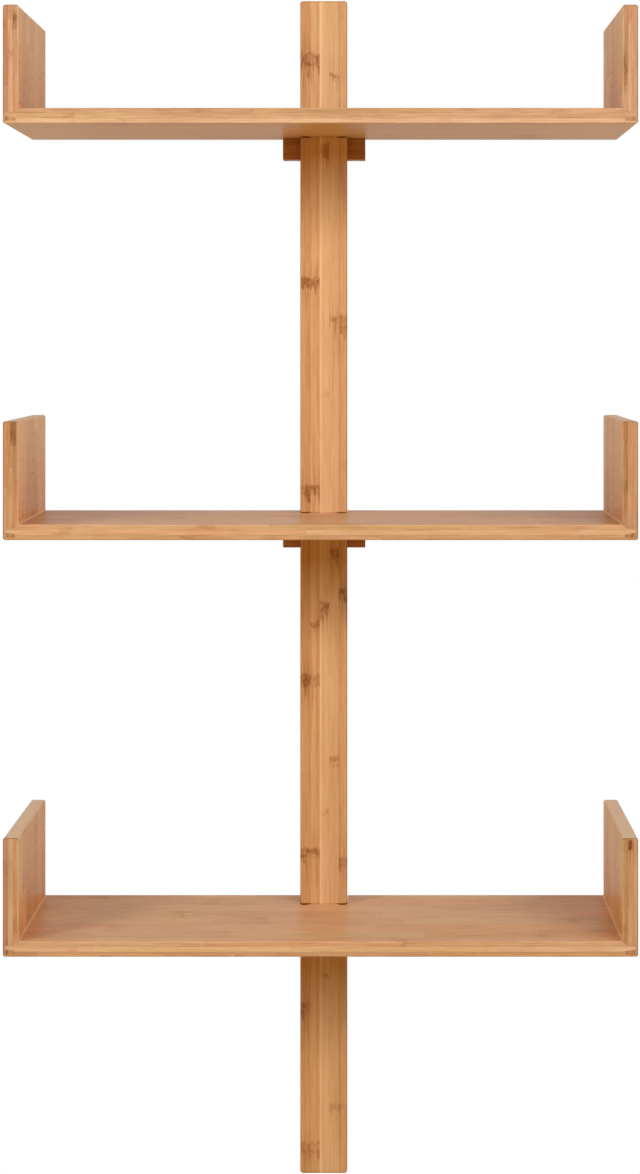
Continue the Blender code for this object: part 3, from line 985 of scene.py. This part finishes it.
class Bamboo:
    """Node tree of one kind of plank, laid up from strips side by side in plies.

    The axes are letters: across the strips, through the plies, and along the grain. Strips and
    plies are a start and a width. Each kind has own_tones, its changes of tone, edges, where
    its edges are and how far they turn, and own_tints, its tints after how far each applies.
    """

    glue_tone = -0.12
    ring_tone = -0.03
    contrast = 1.0
    specular = 0.30
    roughness = 0.46
    strip_contrast = 0.13
    regular_strength = 0.4
    mark_rows = ()
    shifted_strips = True
    last_strip = None

    def __init__(self, slot, axes, strips, plies, seed):
        self.material, self.graph, self.shader = new_material(slot)
        self.axes = axes
        self.strip_start, self.strip_width = strips
        self.ply_start, self.ply = plies
        self.seed = seed
        self.features = {}
        self.find_place()
        self.find_cell()
        self.grow_grain()
        self.features["node_mark"] = largest(*self.all_marks())
        self.mix_finish()

    def find_place(self):
        """Coordinates in the plank, taken just under the surface, and how the surface faces."""
        graph = self.graph
        source = graph.source("TexCoord")
        normal = source["Normal"]
        under = graph.vector_math("MULTIPLY", normal, (-INSIDE, -INSIDE, -INSIDE))
        self.place = graph.parts(graph.vector_math("ADD", source["Object"], under))
        self.side = 1.0
        self.fold_place()
        self.across, self.through, self.along = [self.place[letter] for letter in self.axes]
        self.normal = graph.parts(normal)
        self.facing = {letter: abs(part) for letter, part in self.normal.items()}
        ahead = self.facing[self.axes[2]]
        self.features["end_grain"] = ahead.smooth(*END_GRAIN)
        self.features["end_rim"] = ahead.smooth(*END_RIM_START) * ahead.smooth(*END_RIM_END)
        self.rounding = largest(*self.facing.values()).smooth(*ROUNDED)
        self.front = self.normal["Y"].smooth(*TURNED_DOWN)
        self.off_front = 1.0 - self.front
        self.off_edges = self.facing["Y"].smooth(*SIDEWAYS)
        self.upward = self.normal["Z"].smooth(*TURNED_UP)
        self.downward = self.normal["Z"].smooth(*TURNED_DOWN)

    def fold_place(self):
        """Places in the piece's own tray, and the tray's number as the level."""
        self.level, self.place["Z"] = level_and_height(self.place["Z"])

    def find_cell(self):
        """Strip and ply under a point, what is drawn for them, and how near the glue is."""
        graph = self.graph
        ply_place = (self.through - self.ply_start) / self.ply
        self.ply_number = math.floor(ply_place)
        column = self.ply_number + self.level * LEVEL_STRIDE + self.side * SIDE_STRIDE
        strip_place = (self.across - self.strip_start) / self.strip_width
        if self.shifted_strips:
            strip_place = strip_place + graph.draw(column, 0.0, self.seed + START_DRAW)[0]
        self.strip = math.floor(strip_place)
        if self.last_strip:
            self.strip = self.strip.greater_of(0.0).lesser_of(self.last_strip)
        self.drawn = graph.draw(self.strip, column, self.seed + STRIP_DRAW)
        segment, segment_ends = self.find_segment()
        cell = column + segment * SEGMENT_STRIDE
        self.drawn_again = graph.draw(self.strip, cell, self.seed + CELL_DRAW)
        sides = glue_lines(strip_place, self.strip_width)
        faces = glue_lines(ply_place, self.ply)
        self.features["glue"] = largest(sides, faces, segment_ends)

    def find_segment(self):
        """Number of the segment along the strip, and its glue lines."""
        place = self.along / TRAY_SEGMENT + self.drawn[0]
        return math.floor(place), glue_lines(place, TRAY_SEGMENT)

    def grow_grain(self):
        """Fibres, vessels and streaks that run along the strips, and what bends the nodes."""
        graph = self.graph
        features = self.features
        plain = graph.vector(self.across, self.through, self.along)
        features["clouds"] = graph.noise(plain, CLOUD_SCALES)
        shifted = self.drawn_again[0] * GRAIN_SHIFT + self.along
        stick = graph.vector(self.across, self.through, shifted)
        for name, (across, along, detail, *limits) in FIBRES.items():
            noise = graph.noise(stick, (across, across, along), detail)
            features[name] = noise.smooth(*limits) if limits else noise
        self.bent = features["ragged"] * NODE_RAGGEDNESS + self.along
        wavy = features["waves"] * RING_WAVINESS + self.along
        rings = edge_distance(wavy / RING_SPACING + self.drawn_again[1], RING_SPACING)
        features["rings"] = rings.smooth(*RING_EDGE) * features["patches"]

    def mark(self, *shape):
        """Mask of a node mark, from the first six inputs of its group."""
        grain = [self.features[name] for name in ("fingers", "streaks", "mottle")]
        return self.graph.value("Group", *shape, *grain, node_tree=NODE_MARK)

    def regular_marks(self):
        """Node marks that come at about the same distance along every strip."""
        beat = self.bent / NODE_SPACING + self.drawn[1]
        number = math.floor(beat)
        distance = (beat - number - 0.5) * NODE_SPACING
        drawn = self.graph.draw(number, self.strip, self.ply_number + self.seed)[0]
        strength = drawn.smooth(*MARKED_DRAWS) * self.regular_strength
        return self.mark(0.0, distance, -1.0, 1.0, 0.0, NODE_HALF_HEIGHT) * strength

    def all_marks(self):
        """The regular marks, and those that the photograph shows on a tray's front edges."""
        at_front = self.place["Y"] < self.strip_start + FRONT_DEPTH
        marks = [self.regular_marks()]
        for level, side, *shape, amount in self.mark_rows:
            here = at_front * self.level.equals(level) * amount
            if side:
                here = here * self.side.equals(side)
            marks.append(self.mark(self.through, self.bent, *shape) * here)
        return marks

    def pick(self, number, colors):
        """Color for each number from 0 up."""
        stops = [(n / len(colors), color) for n, color in enumerate(colors)]
        return self.graph.ramp((number + 0.5) / len(colors), stops, "CONSTANT")

    def choose(self, number, tones):
        """Change of tone for each number from 0 up, from tones around a half."""
        return self.pick(number, [(tone, tone, tone) for tone in tones]) - 0.5

    def strip_tone(self):
        """Change of tone of each strip's segment."""
        return (self.drawn_again[2] - 0.5) * self.strip_contrast

    def edge_light_and_shade(self):
        """Painted highlight and shade along the rounded edges, which go with how far they turn."""
        where, turn = self.edges()
        return where * turn.smooth(*self.edge_range).spread(*self.edge_light_and_shade_tones)

    def upper_front_light(self):
        """How far, and with what, the upper tray's front edges are tinted paler by painted light.
        """
        return self.front * (self.level > 0.5), UPPER_FRONT_LIGHT_TINT

    def mix_finish(self):
        """Color, roughness and bump."""
        graph = self.graph
        features = self.features
        tone = sum(self.own_tones(), BASE_TONE)
        tone = tone + mixed(features, TONE_SHARES)
        tone = tone + mixed(features, FINE_TONE_SHARES) * self.contrast
        tone = tone + features["rings"] * self.off_front * self.ring_tone
        tone = tone + features["glue"] * self.glue_tone + self.edge_light_and_shade()
        color = graph.ramp(tone, BAMBOO_TONES)
        drawn = self.drawn_again
        tints = [(drawn[number].smooth(start, 1.0), tint) for number, start, tint in LEANINGS]
        for amount, tint in tints + self.own_tints():
            color = graph.tint(amount, color, tint)
        end_share = features["end_grain"] * END_COLOR_SHARE
        finish = {
            "Base Color": graph.toward(end_share, color, END_COLOR),
            "Roughness": mixed(features, ROUGHNESS_SHARES) + self.roughness,
            "Specular IOR Level": self.specular,
            "Normal": graph.bump(mixed(features, HEIGHT_SHARES), BAMBOO_BUMP),
        }
        graph.feed_named(self.shader, finish)


class PostBamboo(Bamboo):
    """Strips that run the post's whole length, with the marks that its front shows."""

    ring_tone = 0.0
    contrast = 1.15
    specular = 0.25
    regular_strength = 0.8
    edge_range = (0.60, 0.80)
    edge_light_and_shade_tones = (0.20, -0.22)
    shifted_strips = False
    last_strip = len(POST_TONES) - 1.0

    def fold_place(self):
        self.level = 0.0

    def find_segment(self):
        return 0.0, 0.0

    def all_marks(self):
        """The photograph's marks in the front ply, and the regular ones behind it."""
        front = self.ply_number < 0.5
        marks = [self.regular_marks() * (self.ply_number > 0.5)]
        for start, end, centre, half, amount in POST_MARKS:
            strips = (POST_STRIP_EDGES[start], POST_STRIP_EDGES[end])
            marks.append(self.mark(self.across, self.bent, *strips, centre, half) * amount * front)
        return marks

    def own_tones(self):
        uneven = self.features["clouds"] * SEAM_UNEVENNESS + SEAM_SHARE
        tones = [self.choose(self.strip, POST_TONES), self.contact_shade()]
        for place, half, change in POST_SEAMS:
            line = abs(self.across - place).smooth(half, SEAM_CORE * half)
            tones.append(line * uneven * change)
        return tones

    def own_tints(self):
        return [(1.0, self.pick(self.strip, POST_TINTS))]

    def contact_shade(self):
        """Painted shade: a dark line where the post enters the boards, darkest beside the notch's
        overcuts.
        """
        height = level_and_height(self.along)[1]
        low = MIDDLE_TRAY.underside - CONTACT_REACH
        high = MIDDLE_TRAY.top + CONTACT_REACH
        beside = MIDDLE_TRAY.notch_half - OVERCUT_DIAMETER
        corner = abs(self.across).smooth(beside - OVERCUT_SHADE, beside)
        inside = height.between(low, high, EDGE_SOFTNESS)
        return inside * corner.spread(CONTACT_SHARE, 1.0) * CONTACT_SHADE_TONE

    def edges(self):
        """Painted highlight towards the front, painted shade where the edge turns to the side."""
        return self.rounding * self.facing["Z"].smooth(*POST_END), self.facing["X"]


class BoardBamboo(Bamboo):
    """Board plies with their own tones, a painted highlight inside each corner, and painted light
    and shade on the tops and undersides.
    """

    contrast = 1.9
    specular = 0.22
    roughness = 0.36
    strip_contrast = 0.09
    edge_range = (-0.2, -0.6)
    edge_light_and_shade_tones = (0.06, -0.08)
    mark_rows = BOARD_MARKS

    def own_tints(self):
        return [
            (1.0, BOARD_TINT),
            self.upper_front_light(),
            (self.front, BOARD_FRONT_TINT),
            (self.downward, UNDERSIDE_LIGHT_TINT),
        ]

    def own_tones(self):
        outward = abs(self.place["X"])
        line = outward.smooth(CORNER_LINE - CORNER_SOFTNESS, CORNER_LINE)
        above = self.place["Z"] > MIDDLE_TRAY.top - BOARD_SKIN
        # painted shade on the tops and painted light on the undersides, towards the panels
        near_end = outward.smooth(CORNER_LINE - END_REACH, CORNER_LINE)
        top_light_and_shade = (self.level < -0.5) * LOWEST_TOP_LIGHT + near_end * TOP_END_SHADE
        below_light = near_end * UNDERSIDE_END_LIGHT
        return [
            self.strip_tone(),
            self.choose((self.level + 1.0) * PLIES + self.ply_number, BOARD_PLY_TONES),
            line * above * self.off_edges * CORNER_HIGHLIGHT,
            self.upward * (top_light_and_shade + BOARD_TOP_LIGHT),
            self.downward * (below_light + UNDERSIDE_LIGHT),
        ]

    def edges(self):
        """Painted shade along the lower edge, and a slight painted highlight along the others."""
        return self.rounding, self.normal["Z"]


class PanelBamboo(Bamboo):
    """Panels, whose plies count outwards on either side."""

    ring_tone = -0.26
    contrast = 1.7
    specular = 0.22
    roughness = 0.42
    strip_contrast = 0.2
    edge_range = (0.15, 0.5)
    edge_light_and_shade_tones = (0.26, -0.60)
    mark_rows = PANEL_MARKS
    shifted_strips = False

    def fold_place(self):
        super().fold_place()
        self.side = self.place["X"].sign()
        self.place["X"] = abs(self.place["X"])
        self.foot = self.place["Z"].smooth(MIDDLE_TRAY.rim, MIDDLE_TRAY.top)

    def own_tones(self):
        """Plies of the front edge, a brown tongue, the light strip inside, a painted highlight
        along the inside corner, and painted light and shade on the faces and tops.
        """
        outward = self.place["X"]
        height = self.place["Z"]
        panel = (self.level + 1.0) * 2.0 + (self.side > 0.0)
        ply_tones = [tone for row in PANEL_PLY_TONES for tone in row]
        skin = MIDDLE_TRAY.right - LOCK_MITRE[2][0] * PANEL_THICKNESS
        tongue = height.smooth(TONGUE_TOP + EDGE_SOFTNESS, TONGUE_TOP)
        tongue = tongue * outward.smooth(skin + EDGE_SOFTNESS, skin - EDGE_SOFTNESS)
        corner = height.smooth(MIDDLE_TRAY.top + CORNER_TOP, MIDDLE_TRAY.top + CORNER_CORE)
        corner = corner * (outward < CORNER_LINE + CORNER_DEPTH)
        tones = [
            self.strip_tone(),
            self.front * self.choose(panel * PLIES + self.ply_number, ply_tones),
            self.off_front * self.choose(panel, PANEL_OWN_TONES),
            self.off_front * self.foot.spread(*PANEL_FACE_LIGHT_AND_SHADE),
            self.off_front * self.strip.equals(0.0) * FIRST_STRIP_TONE,
            self.upward * PANEL_TOP_SHEEN,
            tongue * self.features["mottle"].spread(*TONGUE_TONES),
            corner * self.off_edges * CORNER_HIGHLIGHT,
        ]
        for level, side, low, high, bottom, top, tone in PANEL_SEGMENTS:
            spot = outward.between(low, high, EDGE_SOFTNESS)
            spot = spot * height.between(bottom, top, EDGE_SOFTNESS) * self.front
            tones.append(spot * self.level.equals(level) * self.side.equals(side) * tone)
        return tones

    def own_tints(self):
        # painted warm shade and bounce light, strongest at the foot of the faces
        warm = self.off_front * (1.0 - self.upward) * self.foot.spread(BOUNCE_SHADE_TOP_SHARE, 1.0)
        return [self.upper_front_light(), (self.front, PANEL_TINT), (warm, BOUNCE_SHADE_TINT)]

    def edges(self):
        """Painted highlight along the inner edges, painted shade along the outer and upper ones.
        """
        outward = self.normal["X"] * self.side
        ahead = self.normal["Y"].smooth(*PANEL_AHEAD)
        upward = self.normal["Z"] * ahead.spread(PANEL_INNER_TOP_SHARE, 1.0)
        rim = (self.place["Y"] - self.strip_start).smooth(*PANEL_RIM)
        return largest(self.rounding, rim * self.off_front), largest(outward, upward)


class CleatBamboo(Bamboo):
    """Cleats darkened and warmed all over by painted shade, with a lighter lowest ply."""

    edge_range = (0.6, 0.2)
    edge_light_and_shade_tones = (0.0, 0.10)

    def own_tones(self):
        return [self.strip_tone(), CLEAT_SHADE_TONE, (self.ply_number < 0.5) * CLEAT_FOOT_TONE]

    def own_tints(self):
        return [(1.0, CLEAT_SHADE_TINT)]

    # painted highlight on the rounded edges, except at the end-grain rims
    def edges(self):
        return self.rounding, self.features["end_rim"]


# Metal

METAL_SHADES = ((0.0, 0.55), (0.5, 1.0), (1.0, 1.25))  # of the color, for each tone
METAL_BUMP = 0.00003
STAIN_SHARE = 0.55
STAINED = (0.02, 0.20)
SCRATCHED = (0.10, 0.22)

# Noise in the plating, and how far each feature changes the tone, the roughness and the height
PLATING = {
    "spangle": ((900.0, 900.0, 900.0), 3.0),
    "cloud": ((160.0, 160.0, 160.0), 3.0),
    "scratch": ((260.0, 3200.0, 2600.0), 2.0),
}
METAL_TONE_SHARES = {"spangle": 0.7, "cloud": 0.5}
METAL_ROUGHNESS_SHARES = {"spangle": 0.20, "dull": 0.16, "scratch": 0.10}
METAL_HEIGHT_SHARES = {"spangle": 0.4, "scratch": -0.6}

# Color, color of the stains and roughness
METALS = {
    "zinc_plate": ((0.62, 0.62, 0.60), (0.46, 0.46, 0.45), 0.34),
    "screw_steel": ((0.68, 0.61, 0.43), (0.55, 0.44, 0.25), 0.30),
}


def metal_material(slot, color, stain, roughness):
    """Plated steel with a fine spangle, stains, scratches and dull spots."""
    material, graph, shader = new_material(slot)
    place = graph.source("TexCoord")["Object"]
    features = {name: graph.noise(place, *look) for name, look in PLATING.items()}
    features["scratch"] = features["scratch"].smooth(*SCRATCHED)
    features["dull"] = features["cloud"].smooth(*STAINED)
    tones = [(at, [min(1.0, shade * part) for part in color]) for at, shade in METAL_SHADES]
    plated = graph.ramp(mixed(features, METAL_TONE_SHARES) + 0.5, tones)
    finish = {
        "Base Color": graph.toward(features["dull"] * STAIN_SHARE, plated, stain),
        "Roughness": mixed(features, METAL_ROUGHNESS_SHARES) + roughness,
        "Normal": graph.bump(mixed(features, METAL_HEIGHT_SHARES), METAL_BUMP),
        "Metallic": 1.0,
    }
    graph.feed_named(shader, finish)
    return material


def make_materials():
    """Finish of each material slot."""
    post_low, post_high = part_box("post")
    cleat_low, cleat_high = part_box("middle_cleat")
    tray = MIDDLE_TRAY
    post_strips = (POST_STRIP_EDGES[1] - POST_STRIP, POST_STRIP)
    post_plies = (post_low.y, (post_high.y - post_low.y) / PLIES)
    strips = (tray.front, TRAY_STRIP)
    board_plies = (tray.underside, TRAY_PLY)
    panel_plies = (tray.right - PANEL_THICKNESS, TRAY_PLY)
    cleat_strips = (cleat_low.y, TRAY_STRIP)
    cleat_plies = (cleat_low.z, (cleat_high.z - cleat_low.z) / (PLIES + 1))
    # Kind, axes, strips, plies and seed of the bamboo in each slot
    planks = {
        "bamboo_post": (PostBamboo, "XYZ", post_strips, post_plies, 0),
        "bamboo_board": (BoardBamboo, "YZX", strips, board_plies, 3),
        "bamboo_panel": (PanelBamboo, "YXZ", strips, panel_plies, 5),
        "bamboo_cleat": (CleatBamboo, "YZX", cleat_strips, cleat_plies, 8),
    }
    materials = {slot: kind(slot, *layout).material for slot, (kind, *layout) in planks.items()}
    for slot, look in METALS.items():
        materials[slot] = metal_material(slot, *look)
    return materials


MATERIALS = make_materials()


def build_pieces():
    dress(drilled_post(), "bamboo_post", "post")
    for level in LEVELS:
        tray = Tray(level)
        dress(tray.board(), "bamboo_board", level + "_board")
        for side in SIDES:
            dress(tray.panel(side), "bamboo_panel", f"{level}_{side}_panel")
        dress(drilled_cleat(level), "bamboo_cleat", level + "_cleat")
        for kind, screws in SCREWS.items():
            for node in screw_nodes(level, kind):
                screws.screw(node)
        if level in HUNG_LEVELS:
            dress(hanger_plate(level), "zinc_plate", level + "_hanger_plate")


# Studio

AIM = Vector((0.0, 0.0, -0.05))
FLOOR_HEIGHT = -1.6
FLOOR_RADIUS = 2.2
FLOOR_SECTORS = 64
FLOOR_SCALES = (9.0, 9.0, 9.0)
FLOOR_DETAIL = 4.0
FLOOR_TONE = 0.86
FLOOR_GRAIN_TONE = 0.04
FLOOR_ROUGHNESS = 0.7
FLOOR_GRAIN_ROUGHNESS = 0.2
FLOOR_FADE = (0.3 * FLOOR_RADIUS, 0.95 * FLOOR_RADIUS)  # where the floor turns white
FLOOR_PALENESS = 0.6  # share of white that the camera sees everywhere on the floor
FLOOR_GLOW = (1.0, 0.68, 0.26)  # warm light from below, as wooden surroundings give it
HORIZON = 0.3  # part of a direction over which the world changes
GLOW_FROM_ABOVE = 0.05
GLOW_FROM_BELOW = 0.57
GLOSSY_WHITE = 0.55  # how bright glossy rays see the background

# Lamps: place, width, height, power, and whether they show in glossy surfaces
LAMPS = {
    "key": ((0.0, -5.0, 4.5), 3.0, 1.2, 40, True),
    "side_key": ((2.6, -3.6, 2.6), 1.4, 1.4, 55, True),
    "front": ((0.0, -3.0, 1.2), 2.4, 0.8, 24, False),
    "left_box": ((-2.6, -1.8, 1.6), 1.0, 1.0, 46, False),
    "right_box": ((2.6, -1.8, 1.6), 1.0, 1.0, 30, False),
    "back_fill": ((0.0, 3.2, 0.5), 2.4, 1.6, 26, False),
}


def add_lamps():
    for name, (place, width, height, power, in_gloss) in LAMPS.items():
        data = bpy.data.lights.new(name, "AREA")
        data.shape = "RECTANGLE"
        data.size = width
        data.size_y = height
        data.energy = power
        item = link(name, data)
        item.location = place
        item.rotation_euler = (AIM - Vector(place)).to_track_quat("-Z", "Y").to_euler()
        item.visible_glossy = in_gloss


def backdrop_seen(graph, glossy_share=1.0):
    """1 for rays that see the white background: camera, transmission, and glossy ones."""
    path = graph.source("LightPath")
    glossy = path["Is Glossy Ray"] * glossy_share
    return largest(path["Is Camera Ray"], path["Is Transmission Ray"], glossy)


def add_world():
    """White background, and a warm glow, mostly from below, that lights the shelf."""
    world = bpy.data.worlds.new("studio")
    bpy.context.scene.world = world
    world.use_nodes = True
    world.node_tree.nodes.clear()
    graph = Graph(world.node_tree)
    direction = graph.parts(graph.source("TexCoord")["Generated"])
    behind = direction["Y"].smooth(-HORIZON, HORIZON)
    glossy = graph.source("LightPath")["Is Glossy Ray"]
    shown = graph.value("Background", (1, 1, 1), glossy.spread(1.0, GLOSSY_WHITE))
    below = direction["Z"].smooth(HORIZON, -HORIZON)
    glow = graph.value("Background", FLOOR_GLOW, below.spread(GLOW_FROM_ABOVE, GLOW_FROM_BELOW))
    graph.node("OutputWorld", graph.value("MixShader", backdrop_seen(graph, behind), glow, shown))


def floor_material():
    """Pale floor that fades to the white background towards its rim."""
    material, graph, shader = new_material("studio_floor")
    place = graph.source("TexCoord")["Object"]
    grain = graph.noise(place, FLOOR_SCALES, FLOOR_DETAIL)
    tone = grain * FLOOR_GRAIN_TONE + FLOOR_TONE
    graph.feed(shader.inputs["Base Color"], graph.vector(tone, tone, tone))
    roughness = grain * FLOOR_GRAIN_ROUGHNESS + FLOOR_ROUGHNESS
    graph.feed(shader.inputs["Roughness"], roughness)
    fade = graph.vector_math("LENGTH", place).smooth(*FLOOR_FADE)
    white_share = fade.spread(FLOOR_PALENESS, 1.0) * backdrop_seen(graph)
    lit = graph.outputs(shader)["BSDF"]
    mix = graph.value("MixShader", white_share, lit, graph.value("Emission"))
    graph.feed(material.node_tree.nodes["Material Output"].inputs["Surface"], mix)
    return material


def add_floor():
    """Round floor below the shelf. The main view reaches only its white rim."""
    work = bmesh.new()
    bmesh.ops.create_circle(work, cap_ends=True, segments=FLOOR_SECTORS, radius=FLOOR_RADIUS)
    floor = item_from("floor", work)
    floor.location.z = FLOOR_HEIGHT
    floor.data.materials.append(floor_material())
    floor.visible_diffuse = False


def add_camera():
    data = bpy.data.cameras.new("camera")
    data.sensor_width = SENSOR
    data.lens = FOCAL_PIXELS / PHOTO_HEIGHT * SENSOR
    data.shift_x = (PHOTO_WIDTH / 2 - AXIS_PIXEL_X) / PHOTO_HEIGHT
    data.shift_y = (AXIS_PIXEL_Y - PHOTO_HEIGHT / 2) / PHOTO_HEIGHT
    item = link("camera", data)
    item.location = CAMERA_PLACE
    item.rotation_euler = (math.radians(90), 0, 0)
    bpy.context.scene.camera = item


build_pieces()
add_lamps()
add_world()
add_floor()
add_camera()
bpy.context.scene.view_settings.view_transform = "Standard"
